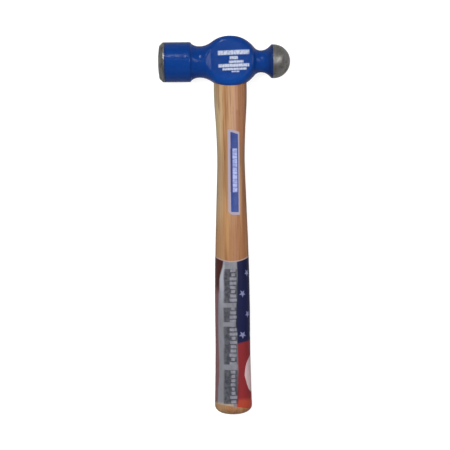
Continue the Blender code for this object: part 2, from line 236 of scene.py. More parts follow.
def handle_size(below):
    """The handle's (half-width, half-thickness) at a distance below the eye centre."""
    below = np.asarray(below, float)
    at, last = HANDLE_STATIONS[:, 0], len(HANDLE_STATIONS) - 1
    i = np.clip(np.searchsorted(at, below) - 1, 0, last - 1)
    before, after = np.maximum(i - 1, 0), np.minimum(i + 2, last)
    step = at[i + 1] - at[i]
    share = (below - at[i]) / step
    sizes = []
    for k in (1, 2):
        size = HANDLE_STATIONS[:, k]
        leave = (size[i + 1] - size[before]) / (at[i + 1] - at[before]) * step
        arrive = (size[after] - size[i]) / (at[after] - at[i]) * step
        bend = (2 * share**3 - 3 * share**2 + 1) * size[i]
        bend += (share**3 - 2 * share**2 + share) * leave
        bend += (3 * share**2 - 2 * share**3) * size[i + 1] + (share**3 - share**2) * arrive
        sizes.append(bend)
    return sizes


def handle_skin(turn, below, grow=0):
    """Points on the handle, dome included, at angles round it and distances below the eye."""
    dome = HANDLE_STATIONS[-1, 0]
    half_width, half_thickness = handle_size(np.minimum(below, dome))
    share = np.clip((below - dome) / (HANDLE_BOTTOM - dome), 0, 1)
    shrink = np.maximum(1 - share**BUTT_POWER, 0) ** (1 / BUTT_POWER)
    shrink = np.maximum(shrink, BUTT_FLAT_SHARE)
    x, z = oval(half_width * shrink + grow, half_thickness * shrink + grow, turn)
    return np.stack([x, -below + 0 * x, z], -1)


def boss_fillet(neck_reach, neck_radius):
    drop = BOSS_HALF_HEIGHT - neck_radius
    joined = (neck_reach**2 + drop**2) / (2 * drop)
    return math.degrees(math.asin(neck_reach / joined)), joined - BOSS_ARC_RADIUS


def head_outline():
    """(x, radius) from the middle of the striking face to the tip of the ball, corners rounded."""
    flat = math.degrees(math.asin(FACE_FLAT_RADIUS / CROWN_RADIUS))
    rim = math.degrees(math.asin(CHAMFER_INNER_RADIUS / CROWN_RADIUS))
    crown = arc(0, 0, CROWN_RADIUS, 180 - flat, 180 - rim)
    crown[:, 0] += -FACE_REACH - crown[0, 0]
    start = crown[-1, 0] + FACE_RADIUS - CHAMFER_INNER_RADIUS
    shoulder_y = FACE_RADIUS - POLL_SHOULDER_RADIUS
    turned = 90 - POLL_SHOULDER_TURN
    shoulder = arc(start + POLL_LENGTH, shoulder_y, POLL_SHOULDER_RADIUS, 90, turned)
    lean = math.degrees(math.asin((-FACE_NECK_REACH - shoulder[-1, 0]) / FACE_NECK_HOLLOW))
    hollow_y = FACE_NECK_RADIUS + FACE_NECK_HOLLOW
    face_turn, face_fillet = boss_fillet(FACE_NECK_REACH, FACE_NECK_RADIUS)
    peen_turn, peen_fillet = boss_fillet(PEEN_NECK_REACH, PEEN_NECK_RADIUS)
    rise = FACE_NECK_RADIUS + face_fillet
    boss_y = BOSS_HALF_HEIGHT - BOSS_ARC_RADIUS
    fall = PEEN_NECK_RADIUS + peen_fillet
    flare_y = PEEN_NECK_RADIUS + PEEN_NECK_HOLLOW
    ball_x = PEEN_REACH - PEEN_RADIUS - PEEN_TIP_INSET
    corners = np.concatenate(
        [
            [(-FACE_REACH, 0)],
            crown,
            [(start, FACE_RADIUS)],
            shoulder,
            arc(-FACE_NECK_REACH, hollow_y, FACE_NECK_HOLLOW, 270 - lean, 270),
            arc(-FACE_NECK_REACH, rise, face_fillet, 270, 270 + face_turn),
            arc(0, boss_y, BOSS_ARC_RADIUS, 90 + face_turn, 90 - peen_turn),
            arc(PEEN_NECK_REACH, fall, peen_fillet, 270 - peen_turn, 270),
            arc(PEEN_NECK_REACH, flare_y, PEEN_NECK_HOLLOW, 270, 315),
            arc(ball_x, 0, PEEN_RADIUS, PEEN_COLLAR_TURN, 0),
        ]
    )
    run = np.concatenate([[0], np.cumsum(np.hypot(*np.diff(corners, axis=0).T))])
    even = np.arange(0, run[-1], OUTLINE_STEP)
    x, radius = (np.interp(even, run, corners[:, k]) for k in (0, 1))
    reach = 3 * SMOOTHING_POINTS
    weight = np.exp(-0.5 * (np.arange(-reach, reach + 1) / SMOOTHING_POINTS) ** 2)
    weight /= weight.sum()
    x = np.concatenate([x[reach:0:-1], x, x[-2 : -reach - 2 : -1]])
    radius = np.concatenate([-radius[reach:0:-1], radius, -radius[-2 : -reach - 2 : -1]])
    return np.stack([np.convolve(x, weight, "valid"), np.convolve(radius, weight, "valid")], 1)


def stations(outline, low, high, step=1.5 * MM, turn=math.radians(5)):
    """Points of the outline between two distances along X, closer together where it bends."""
    delta = np.diff(outline, axis=0)
    heading = np.unwrap(np.arctan2(delta[:, 1], delta[:, 0]))
    bend = np.abs(np.diff(heading, prepend=heading[0]))
    cost = np.concatenate([[0], np.cumsum(np.hypot(*delta.T) / step + bend / turn)])
    first, last = (np.interp(v, outline[:, 0], cost) for v in (low, high))
    if low == -math.inf:
        on_face = round(FACE_FLAT_RADIUS / OUTLINE_STEP)
        first = np.interp(TIP_RING_RADIUS, outline[:on_face, 1], cost[:on_face])
    if high == math.inf:
        last = cost[-round(TIP_RING_RADIUS / OUTLINE_STEP)]
    count = max(round(last - first), 1)
    at = np.linspace(first, last, count + 1)
    return np.stack([np.interp(at, cost, outline[:, k]) for k in (0, 1)], 1)


def boss_height(x):
    return np.sqrt(BOSS_ARC_RADIUS**2 - x**2) + BOSS_HALF_HEIGHT - BOSS_ARC_RADIUS


def section_shape(x, half_height):
    """(half-thickness, corner radius) of the head's section."""
    fade = ramp(CHEEK_FADE_START, CHEEK_FADE_END, np.abs(x))
    cheek = CHEEK_HALF_THICKNESS + CHEEK_FADE_RISE * fade
    half_thickness = smooth_min(half_height, cheek, CHEEK_BLEND)
    half_thickness = np.where(fade < 1, half_thickness, half_height)
    flatness = ramp(CHEEK_HALF_THICKNESS - CHEEK_BLEND, BOSS_HALF_HEIGHT, half_height)
    corner = half_thickness + (CHEEK_EDGE_RADIUS - half_thickness) * flatness * (1 - fade)
    return half_thickness, corner


def head_ring(x, half_height):
    """One ring of the head, evenly spaced, from the crown of the boss round by +Z."""
    half_thickness, corner = section_shape(x, half_height)
    flat_y, flat_z = half_height - corner, half_thickness - corner
    run = np.linspace(0, flat_z + math.pi / 2 * corner + flat_y, QUARTER + 1)
    turn = np.clip((run - flat_z) / corner, 0, math.pi / 2)
    z = np.minimum(run, flat_z) + corner * np.sin(turn)
    y = flat_y + corner * np.cos(turn) - np.maximum(run - flat_z - corner * math.pi / 2, 0)
    quarters = [
        (y[:-1], z[:-1]),
        (-y[:0:-1], z[:0:-1]),
        (-y[:-1], -z[:-1]),
        (y[:0:-1], -z[:0:-1]),
    ]
    ring = np.concatenate([np.stack(q, 1) for q in quarters])
    return np.column_stack([np.full(len(ring), x), ring])


def boss_surface(x, z):
    """How far above the eye centre the boss's upper surface lies."""
    height = boss_height(x)
    half_thickness, corner = section_shape(x, height)
    past = np.maximum(np.abs(z) - (half_thickness - corner), 0)
    return height - corner + np.sqrt(np.maximum(corner**2 - past**2, 0))


def eye_oval(turn, grow, level):
    """(x, z) of the eye's wall at a height, larger by grow."""
    flare = EYE_FLARE * np.minimum(np.abs(level) / BOSS_HALF_HEIGHT, 1) ** 2 + grow
    return oval(EYE_HALF_LENGTH + flare, EYE_HALF_WIDTH + flare, turn)


def mouth_oval(turn, grow):
    """(x, y, z) where the eye's wall, larger by grow, meets the crown of the boss."""
    level = np.full(len(turn), BOSS_HALF_HEIGHT)
    for _ in range(4):
        x, z = eye_oval(turn, grow, level)
        level = boss_surface(x, z)
    return x, level, z


# Mesh helpers.


class Shell:
    """Points and faces of one closed skin, added loop by loop."""

    def __init__(self):
        self.points, self.faces = [], []

    def add(self, points):
        start = len(self.points)
        self.points.extend(map(tuple, points))
        return list(range(start, len(self.points)))

    def join(self, lower, upper, skip=()):
        count = len(lower)
        for i in range(count):
            if i not in skip:
                j = (i + 1) % count
                self.faces.append((lower[i], lower[j], upper[j], upper[i]))

    def grow(self, loop, points):
        """A new loop, joined to one made before."""
        made = self.add(points)
        self.join(loop, made)
        return made

    def cap(self, loop, middle):
        """A fan from a loop to a point in its middle."""
        tip = self.add([middle])[0]
        for i, first in enumerate(loop):
            self.faces.append((first, loop[(i + 1) % len(loop)], tip))

    def join_all(self, rows, skip=()):
        for lower, upper in zip(rows, rows[1:]):
            self.join(lower, upper, skip)

    def loft(self, loops):
        rows = [self.add(loop) for loop in loops]
        self.join_all(rows)
        return rows

    def mesh(self, name):
        """The skin as a mesh in the frame, its faces turned out."""
        mesh = bpy.data.meshes.new(name)
        mesh.from_pydata([Vector(p) + EYE for p in self.points], [], self.faces)
        bm = bmesh.new()
        bm.from_mesh(mesh)
        bmesh.ops.recalc_face_normals(bm, faces=bm.faces)
        bm.to_mesh(mesh)
        bm.free()
        return mesh


def prism(near, far):
    """A closed shell between two loops of four corners."""
    shell = Shell()
    shell.loft([near, far])
    shell.faces += [tuple(range(4)), tuple(range(4, 8))]
    return shell


def add_object(name, data):
    obj = bpy.data.objects.new(name, data)
    bpy.context.scene.collection.objects.link(obj)
    return obj


def piece(name, shell, finish, slot, *nodes, sharp=40):
    """A visible piece made of a shell given from the eye centre."""
    mesh = shell.mesh(name)
    mesh.materials.append(finish)
    mesh.shade_smooth()
    mesh.set_sharp_from_angle(angle=math.radians(sharp))
    obj = add_object(name, mesh)
    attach(obj, "root")
    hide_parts(*nodes)
    return obj


def cut(obj, cutters, sharp=40):
    """Takes closed shells out of a piece."""
    tools = []
    for shell in cutters:
        tool = add_object("cutter", shell.mesh("cutter"))
        tools.append(tool)
        modifier = obj.modifiers.new("cut", "BOOLEAN")
        modifier.operation, modifier.object, modifier.solver = "DIFFERENCE", tool, "EXACT"
    bpy.context.view_layer.update()
    graph = bpy.context.evaluated_depsgraph_get()
    made = bpy.data.meshes.new_from_object(obj.evaluated_get(graph))
    obj.modifiers.clear()
    obj.data = made
    made.set_sharp_from_angle(angle=math.radians(sharp))
    for tool in tools:
        bpy.data.objects.remove(tool, do_unlink=True)


# Shader helpers.


def srgb(red, green, blue, gain=1):
    """A linear colour from one as displayed, 0 to 255."""
    linear = []
    for value in (red, green, blue):
        value = value / 255
        value = value / 12.92 if value <= 0.04045 else ((value + 0.055) / 1.055) ** 2.4
        linear.append(value * gain)
    return (*linear, 1)


class Graph:
    """The nodes of one material. Places are in millimetres from the eye centre."""

    def __init__(self, name, gain=1):
        self.gain = gain
        self.material = bpy.data.materials.new(name)
        self.material.use_nodes = True
        self.tree = self.material.node_tree
        self.shader = self.tree.nodes["Principled BSDF"]
        place = self.node("TexCoord").outputs["Object"]
        place = self.vector("SUBTRACT", place, tuple(EYE))
        place = self.vector("MULTIPLY", place, (1 / MM, 1 / MM, 1 / MM))
        self.place = place
        self.x, self.y, self.z = self.node("SeparateXYZ", {0: place}).outputs

    def ink(self, *tone):
        """A colour as displayed, dimmed to suit the light."""
        return srgb(*tone, self.gain)

    def node(self, kind, inputs=None, **settings):
        made = self.tree.nodes.new("ShaderNode" + kind)
        for key, value in settings.items():
            setattr(made, key, value)
        for key, value in (inputs or {}).items():
            self.feed(made.inputs[key], value)
        return made

    def feed(self, socket, value):
        if isinstance(value, bpy.types.NodeSocket):
            self.tree.links.new(value, socket)
        else:
            socket.default_value = value

    def vector(self, operation, first, second):
        return self.node("VectorMath", {0: first, 1: second}, operation=operation).outputs[0]

    def math(self, operation, *values, clamp=False):
        made = self.node("Math", dict(enumerate(values)), operation=operation, use_clamp=clamp)
        return made.outputs[0]

    def chain(self, operation, values):
        made = values[0]
        for value in values[1:]:
            made = self.math(operation, made, value)
        return made

    def times(self, *values):
        """The product. Of masks, it is the mask where all are 1."""
        return self.chain("MULTIPLY", values)

    def plus(self, first, second):
        return self.math("ADD", first, second)

    def minus(self, first, second):
        return self.math("SUBTRACT", first, second)

    def line(self, value, slope, start):
        return self.math("MULTIPLY_ADD", value, slope, start)

    def join(self, x, y, z=0.0):
        return self.node("CombineXYZ", {0: x, 1: y, 2: z}).outputs[0]

    def step(self, value, low, high):
        """0 to 1 as value goes from low to high, smoothly; the other way if low is the higher."""
        inputs = {"Value": value, "From Min": low, "From Max": high}
        return self.node("MapRange", inputs, interpolation_type="SMOOTHSTEP").outputs[0]

    def scale(self, value, low, high):
        """A share of 0 to 1 as a number from low to high."""
        return self.node("MapRange", {"Value": value, "To Min": low, "To Max": high}).outputs[0]

    def band(self, value, low, high, soft):
        """1 between low and high, 0 outside."""
        after = self.step(value, low - soft, low + soft)
        before = self.step(value, high + soft, high - soft)
        return self.times(after, before)

    def box(self, across, along, left, right, low, high, soft):
        first = self.band(across, left, right, soft)
        return self.times(first, self.band(along, low, high, soft))

    def any(self, *masks):
        return self.chain("MAXIMUM", masks)


    def mix(self, factor, first, second):
        made = self.node("Mix", {0: factor, 6: first, 7: second}, data_type="RGBA")
        return made.outputs[2]

    def tint(self, tone, mask, share, colour):
        """The tone, with a share of a colour over it where the mask is 1."""
        return self.mix(self.times(mask, share), tone, colour)

    def length(self, first, second):
        squares = [self.times(value, value) for value in (first, second)]
        return self.math("SQRT", self.plus(*squares))

    def noise(self, size, place=None, detail=3.0, stretch=(1, 1, 1), roughness=0.55):
        """Noise with lumps of about a size in millimetres, longer where stretch is more."""
        place = self.place if place is None else place
        scale = tuple(1 / (size * s) for s in stretch)
        place = self.vector("MULTIPLY", place, scale)
        inputs = {"Vector": place, "Scale": 1.0, "Detail": detail, "Roughness": roughness}
        return self.node("TexNoise", inputs).outputs[0]

    def ramp(self, value, stops):
        """A colour from stops of (position, colour)."""
        made = self.node("ValToRGB", {0: value})
        elements = made.color_ramp.elements
        while len(elements) < len(stops):
            elements.new(1.0)
        for element, (at, colour) in zip(elements, stops):
            element.position, element.color = at, colour
        return made.outputs[0]

    def bump(self, *layers):
        """A surface raised, for each (height, depth), by depth millimetres where height is 1."""
        inputs = {"Strength": 1.0}
        for height, depth in layers:
            inputs.update({"Height": height, "Distance": depth * MM})
            inputs["Normal"] = self.node("Bump", inputs).outputs[0]
        return inputs["Normal"]

    def finish(self, colour, rough, normal=None, **more):
        """Feeds the shader, the other sockets named with _ for a space, and gives the material."""
        sockets = {"Base Color": colour, "Roughness": rough, **more}
        if normal is not None:
            sockets["Normal"] = normal
        for key, value in sockets.items():
            self.feed(self.shader.inputs[key.replace("_", " ")], value)
        return self.material


def greeked(g, across, along, rows, pitch, gap, soft):
    """Plain broken bars in place of lines of print. Each row is (left, right, low, high)."""
    wander = g.noise(2 * pitch, g.join(across, g.times(along, 0.5)), detail=1)
    cell = g.plus(g.math("DIVIDE", across, pitch), g.scale(wander, -1, 1))
    breaks = g.step(g.math("FRACT", cell), gap + soft / pitch, gap - soft / pitch)
    bars = [g.box(across, along, *row, soft) for row in rows]
    return g.any(*bars), breaks


# Materials.


def enamel_material():
    """Satin blue enamel over a forging, with generic white bars printed on the upper cheek, a
    painted sheen on the lower cheek and painted shade towards the ball's collar.
    """
    g = Graph("blue_enamel")
    thick = g.noise(22, detail=2)
    mottle = g.noise(4, detail=4)
    colour = g.mix(thick, (0.0015, 0.024, 0.142, 1), (0.003, 0.036, 0.19, 1))
    # Painted sheen: the lower part of the cheek is tinted a lighter blue, standing in for a
    # reflection.
    low = g.times(g.step(g.y, -9, -20), g.step(g.math("ABSOLUTE", g.x), 24, 12))
    colour = g.tint(colour, low, 0.45, (0.003, 0.052, 0.27, 1))
    colour = g.mix(g.scale(g.step(mottle, 0.45, 0.75), 0, 0.3), colour, (0.001, 0.018, 0.105, 1))
    rows = [
        (-12.3, 19.6, 5.7, 10.1),
        (-0.3, 8, 0.9, 4.0),
        (-1, 13.6, -2.8, -0.4),
        (-11.8, 19.4, -6.9, -3.7),
        (-7.7, 16.5, -10.0, -7.9),
        (1.5, 9.4, -12.2, -10.9),
    ]
    rise = g.line(g.x, -0.03, g.y)
    bars, breaks = greeked(g, g.x, rise, rows, 3.1, 0.16, 0.6)
    worn = g.scale(g.step(g.noise(1.6, detail=3), 0.3, 0.55), 0.55, 1)
    ink = g.times(bars, g.line(breaks, -0.45, 1.0), worn, g.step(g.z, 8, 10))
    ink = g.times(ink, 0.92)
    colour = g.mix(ink, colour, srgb(205, 212, 228, 0.74))
    peel = g.noise(0.9, detail=2)
    hammered = g.noise(7, detail=3)
    normal = g.bump((hammered, 0.16), (peel, 0.014), (ink, 0.03))
    from_face = g.minus(g.x, FACE_PAINT_EDGE / MM)
    from_ball = g.minus(BALL_PAINT_EDGE / MM, g.x)
    edge = g.math("MINIMUM", from_face, from_ball)
    ragged = g.line(g.noise(1.4, detail=4), -1.5, edge)
    worn_edge = g.step(ragged, 0.5, -0.6)
    colour = g.tint(colour, worn_edge, 0.75, (0.012, 0.014, 0.026, 1))
    # Painted shade: the enamel is darkened towards the collar by the ball, where the surface turns
    # from the light.
    collar_shade = g.times(g.step(g.x, 35, 43), 0.55)
    colour = g.mix(collar_shade, colour, (0.008, 0.014, 0.05, 1))
    rough = g.plus(g.scale(mottle, 0.15, 0.24), g.times(ink, 0.2))
    return g.finish(colour, rough, normal, Specular_IOR_Level=0.15)


def ground_steel_material(name, lean):
    """Bare steel turned round the head's axis. lean tells how the surface runs along it."""
    g = Graph(name)
    radius = g.length(g.y, g.z)
    turn = g.math("ARCTAN2", g.y, g.z)
    along = g.line(radius, lean, g.x)
    groove = g.noise(0.16, g.join(along, g.times(turn, 0.8)), detail=4)
    band = g.noise(2.4, g.join(along, g.times(turn, 3.0)), detail=3)
    stain = g.noise(6, detail=4)
    colour = g.mix(band, (0.2, 0.195, 0.187, 1), (0.4, 0.392, 0.376, 1))
    colour = g.mix(g.step(stain, 0.45, 0.72), colour, (0.16, 0.15, 0.128, 1))
    colour = g.mix(g.scale(groove, 0, 0.4), colour, (0.1, 0.1, 0.1, 1))
    rough = g.plus(g.scale(groove, 0.3, 0.46), g.scale(stain, -0.04, 0.08))
    normal = g.bump((groove, 0.012), (band, 0.03), (stain, 0.06))
    tangent = g.node("Tangent", direction_type="RADIAL", axis="X").outputs[0]
    return g.finish(colour, rough, normal, Metallic=1.0, Anisotropic=0.55, Tangent=tangent)


def hickory_material():
    """Lacquered hickory: pale sapwood to the face side, redder heartwood to the peen side, with
    painted shade darkening the peen-side edge.
    """
    g = Graph("lacquered_hickory", gain=0.7)
    drift = g.noise(26, detail=2, stretch=(1, 9, 1))
    side = g.line(g.z, 0.3, g.x)
    side = g.line(g.y, 0.008, side)
    side = g.plus(side, g.scale(drift, -7, 7))
    # Real sapwood and heartwood tones across the handle, with painted shade in the darker peen-side
    # edge.
    tones = [(at, g.ink(*tone)) for at, tone in HICKORY_TONES_AND_SHADE]
    tone = g.ramp(g.line(side, 1 / 38, 0.5), tones)
    dim = g.times(g.step(g.y, -70, -105), g.step(g.y, -160, -125))
    tone = g.tint(tone, dim, 0.4, g.ink(118, 92, 72))
    warm = g.times(g.step(g.y, -120, -185), 0.68)
    tone = g.mix(warm, tone, g.ink(151, 97, 58))
    across = g.plus(g.x, 58)
    through = g.plus(g.z, 31)
    pith = g.length(across, through)
    waver = g.noise(14, detail=3, stretch=(1, 14, 1))
    pith = g.plus(pith, g.scale(waver, -2.6, 2.6))
    ring = g.math("FRACT", g.math("DIVIDE", pith, 2.3))
    early = g.times(g.step(ring, 0, 0.1), g.step(ring, 0.42, 0.16))
    fibre = g.noise(0.5, detail=4, stretch=(1, 60, 1), roughness=0.65)
    pore = g.step(g.noise(0.34, detail=2, stretch=(1, 24, 1)), 0.6, 0.7)
    pores = g.times(pore, g.scale(early, 0.25, 1))
    streak = g.step(g.noise(3.6, detail=3, stretch=(1, 30, 1)), 0.5, 0.7)
    glow = g.step(g.noise(4.4, g.join(g.x, g.y, 40.0), detail=2, stretch=(1, 26, 1)), 0.5, 0.7)
    shade = g.ink(124, 72, 38)
    tone = g.tint(tone, early, 0.2, shade)
    tone = g.tint(tone, glow, 0.42, g.ink(208, 166, 112))
    tone = g.tint(tone, streak, 0.6, shade)
    tone = g.mix(g.scale(fibre, 0, 0.16), tone, g.ink(212, 178, 138))
    tone = g.tint(tone, pores, 0.5, g.ink(84, 52, 32))
    brown = g.box(g.x, g.y, 5.5, 9.5, -72, -50, 1.6)
    tone = g.tint(tone, brown, 0.4, g.ink(140, 88, 52))
    normal = g.bump(
        (fibre, 0.02),
        (g.minus(1.0, pores), 0.05),
        (g.noise(9, detail=2, stretch=(1, 4, 1)), 0.08),
    )
    rough = g.plus(g.scale(fibre, 0.36, 0.5), g.times(pores, 0.2))
    return g.finish(tone, rough, normal, Specular_IOR_Level=0.16)


def wedge_wood_material():
    """Pale wood with its grain along the wedge."""
    g = Graph("pale_wedge_wood")
    fibre = g.noise(0.5, detail=4, stretch=(1, 30, 1))
    ring = g.noise(1.6, detail=3, stretch=(3, 20, 1))
    tone = g.mix(ring, (0.5, 0.34, 0.19, 1), (0.68, 0.5, 0.31, 1))
    tone = g.mix(g.scale(fibre, 0, 0.5), tone, (0.36, 0.22, 0.11, 1))
    normal = g.bump((fibre, 0.05))
    rough = g.scale(fibre, 0.55, 0.75)
    return g.finish(tone, rough, normal)


def wedge_steel_material():
    """Dark mill-scaled steel, bright where the punch has struck it."""
    g = Graph("struck_wedge_steel")
    scale = g.noise(1.1, detail=5)
    struck = g.times(g.step(g.y, 24.5, 25.2), g.step(g.noise(1.7, detail=3), 0.35, 0.6))
    tone = g.mix(scale, (0.12, 0.115, 0.11, 1), (0.3, 0.28, 0.26, 1))
    tone = g.mix(struck, tone, (0.55, 0.54, 0.52, 1))
    rough = g.line(struck, -0.18, g.scale(scale, 0.42, 0.62))
    normal = g.bump((scale, 0.05))
    return g.finish(tone, rough, normal, Metallic=1.0)


def label_material():
    """A blue sticker with a pale border and a generic column of pale bars."""
    g = Graph("label_print", gain=0.7)
    across = g.minus(g.x, LABEL_CENTRE_X / MM)
    along = g.plus(g.y, LABEL_TOP / MM)
    half, length = LABEL_WIDTH / MM / 2, LABEL_LENGTH / MM
    past_top = g.math("MAXIMUM", g.minus(across, LABEL_TOP_BEND / MM), 0.0)
    top = g.line(past_top, -LABEL_TOP_FALL, LABEL_TOP_RISE / MM)
    past_foot = g.math("MINIMUM", g.minus(across, LABEL_FOOT_BEND / MM), 0.0)
    foot = g.line(past_foot, -LABEL_FOOT_FALL, -length - 0.8)
    inner = g.times(
        g.band(across, 2.8 - half, half - 1.4, 0.3),
        g.step(g.minus(top, along), 2.4, 3.0),
        g.step(g.minus(along, foot), 1.8, 2.4),
    )
    pale_gain = 0.72
    fade = g.noise(9, detail=2)
    blue = g.mix(fade, g.ink(44, 58, 122), g.ink(60, 84, 156))
    tone = g.mix(inner, srgb(170, 158, 172, pale_gain), blue)
    foot, top = -62, -17.5
    bars, breaks = greeked(g, along, across, [(foot, top, -1.2, 3.4)], 4.1, 0.14, 0.5)
    ink = g.times(bars, g.line(breaks, -0.6, 1.0))
    ink = g.times(ink, g.scale(g.step(g.noise(5, detail=2), 0.35, 0.6), 0.62, 1))
    dark = g.box(across, along, -3.6, -1.0, foot, top, 0.5)
    tone = g.tint(tone, dark, 0.5, g.ink(38, 46, 104))
    tone = g.tint(tone, ink, 0.9, srgb(178, 188, 238, pale_gain))
    scuff = g.step(g.noise(0.8, detail=4, stretch=(1, 5, 1)), 0.62, 0.75)
    tone = g.tint(tone, scuff, 0.14, g.ink(200, 196, 205))
    rough = g.scale(scuff, 0.3, 0.5)
    normal = g.bump((g.noise(3.5, detail=2), 0.03))
    return g.finish(tone, rough, normal, Specular_IOR_Level=0.2)


def star_mask(g, across, along, radius):
    """1 inside a five-pointed star about the origin."""
    inner, half = 0.42, math.pi / 5
    reach = g.length(across, along)
    turn = g.math("PINGPONG", g.math("ARCTAN2", across, along), half)
    falling = g.math("SINE", g.minus(half, turn))
    below = g.line(falling, inner, g.math("SINE", turn))
    edge = g.math("DIVIDE", radius * inner * math.sin(half), below)
    return g.step(g.minus(reach, edge), 0.8, -0.8)


def film_peen_side(g, x, below, red, navy):
    """A dark blue field with stars, below it red with a pale lens, lighter red at the butt."""
    short = g.math("DIVIDE", g.minus(25.6, x), 13.0, clamp=True)
    opening = g.times(g.math("SQRT", g.minus(1.0, g.times(short, short))), 20.0)
    middle = g.line(g.math("SINE", g.math("DIVIDE", x, 9.0)), 2.0, 317.5)
    reach = g.math("ABSOLUTE", g.minus(below, middle))
    lens = g.step(g.minus(opening, reach), 0.2, 1.8)
    red = g.mix(lens, red, g.ink(204, 176, 178))
    red = g.mix(g.step(below, 342, 347), red, g.ink(170, 66, 48))
    stars = []
    for column, start in STAR_COLUMNS:
        cell = g.math("FRACT", g.math("DIVIDE", g.minus(below, start), STAR_PITCH))
        offset = g.line(cell, STAR_PITCH, -STAR_PITCH / 2)
        stars.append(star_mask(g, g.minus(x, column), offset, STAR_RADIUS))
    field = g.tint(navy, g.any(*stars), 0.72, g.ink(150, 154, 196))
    fall = g.line(x, 0.2, below)
    return g.mix(g.step(fall, 287.6, 289.8), field, red)


def film_bars(g, x, below, tone):
    """The tone with generic bars down the middle, in place of letters, and their shadow."""
    groups = [(212, 246.5), (251, 266), (270.5, 309), (314.5, 349)]
    column = g.any(*[g.band(below, low, high, 0.5) for low, high in groups])
    cell = g.math("DIVIDE", below, 4.3)
    breaks = g.band(g.math("FRACT", cell), 0.3, 1.3, 0.16)
    ragged = g.node("TexWhiteNoise", {"W": g.math("FLOOR", cell)}, noise_dimensions="1D")
    inset = g.scale(ragged.outputs[0], 0, 2.4)
    left, right = g.step(g.minus(x, inset), -3.4, -2.2), g.step(g.plus(x, inset), 5.2, 4.0)
    bar = g.times(column, breaks, left, right)
    shadow = g.times(column, g.band(x, -8.5, 5.1, 1.3))
    worn = g.step(g.noise(3.5, detail=3), 0.35, 0.65)
    tone = g.mix(g.times(shadow, g.scale(worn, 0.86, 0.62)), tone, g.ink(44, 46, 54))
    return g.mix(g.times(bar, g.scale(worn, 0.6, 0.9)), tone, g.ink(146, 146, 158))


def film_material():
    """A printed sleeve: waving red and pale stripes, a dark blue field with stars, grey bars, with
    painted shade along its face-side edge and a painted sheen beside it.
    """
    g = Graph("printed_film", gain=0.74)
    below = g.times(g.y, -1.0)
    # How far round the grip from the middle of the upper side, towards the peen.
    turn = g.math("ARCTAN2", g.x, g.times(g.z, GRIP_ASPECT))
    around = g.times(turn, GRIP_RADIUS)
    x = g.line(g.minus(below, 211.0), 0.006, around)
    x = g.plus(x, g.scale(g.noise(9, detail=3, stretch=(1, 2.5, 1)), -1.6, 1.6))
    sway = g.math("SINE", g.math("DIVIDE", below, 15.0))
    folds = g.noise(7, detail=2, stretch=(1, 9, 1))
    inks = [g.mix(folds, g.ink(*dark), g.ink(*light)) for dark, light in FILM_INKS]
    pale, red_in_shade, red_in_lighter_shade, red, navy = inks
    # Painted shade: along the face-side edge the red print is darkened where the sleeve turns from
    # the light.
    left_edge = g.plus(g.line(sway, 0.7, -15.1), g.times(g.step(below, 228, 200), 5.5))
    # Painted sheen: a lighter band over the pale stripe on the face side of the upper grip.
    painted_sheen_band = g.times(g.band(x, -13.9, -8.5, 1.6), g.step(below, 270, 215))
    pale = g.tint(pale, painted_sheen_band, 0.6, g.ink(186, 190, 200))
    red_in_shade = g.mix(g.step(below, 226, 240), red_in_shade, red_in_lighter_shade)
    tone = g.mix(g.step(g.minus(left_edge, x), -1.0, 1.0), pale, red_in_shade)
    seam = g.line(sway, 0.8, 4.6)
    right = g.step(g.minus(x, seam), -0.9, 0.9)
    tone = g.mix(right, tone, film_peen_side(g, x, below, red, navy))
    tan = g.times(g.step(below, 346, 350), g.step(x, 1.5, 0.0))
    tone = g.tint(tone, tan, 0.8, g.ink(176, 158, 140))
    tone = film_bars(g, x, below, tone)
    # Under side: the stripes carried on round.
    bend = g.line(sway, 1.8, g.math("ABSOLUTE", around))
    under = g.mix(g.step(bend, 46.5, 47.5), pale, red)
    tone = g.mix(g.step(bend, 36.5, 37.5), tone, under)
    # A pale rim along the sleeve's waving upper edge.
    turn = g.math("ARCTAN2", g.times(g.z, FILM_TOP_ASPECT), g.x)
    wave = g.math("COSINE", g.times(turn, 2.0))
    top = g.line(wave, -FILM_WAVE / MM, FILM_TOP / MM)
    rim = g.step(g.minus(below, top), 1.6, 0.7)
    tone = g.mix(rim, tone, g.ink(176, 152, 146))
    grime = g.step(g.noise(2.2, detail=4, stretch=(1, 3, 1)), 0.5, 0.75)
    tone = g.tint(tone, grime, 0.16, g.ink(48, 42, 44))
    rough = g.scale(grime, 0.34, 0.5)
    normal = g.bump((g.noise(1.3, detail=3, stretch=(1, 3, 1)), 0.03), (folds, 0.1))
    return g.finish(tone, rough, normal, Specular_IOR_Level=0.14)


# The head.


def forged(points):
    """The same points with the slight hollows of a forging, never outside the true shape."""
    made = []
    for x, y, z in points:
        p = Vector((x, y, z))
        faded = float(ramp(*FORGING_FACE_FADE, x) * ramp(*FORGING_PEEN_FADE, x))
        lump = noise.noise(p * 120) * 0.7 + noise.noise(p * 320) * 0.3
        depth = FORGING_HOLLOW * faded
        inward = Vector((0, y, z)).normalized() * depth * (0.5 + 0.5 * lump)
        made.append(tuple(p - inward))
    return made


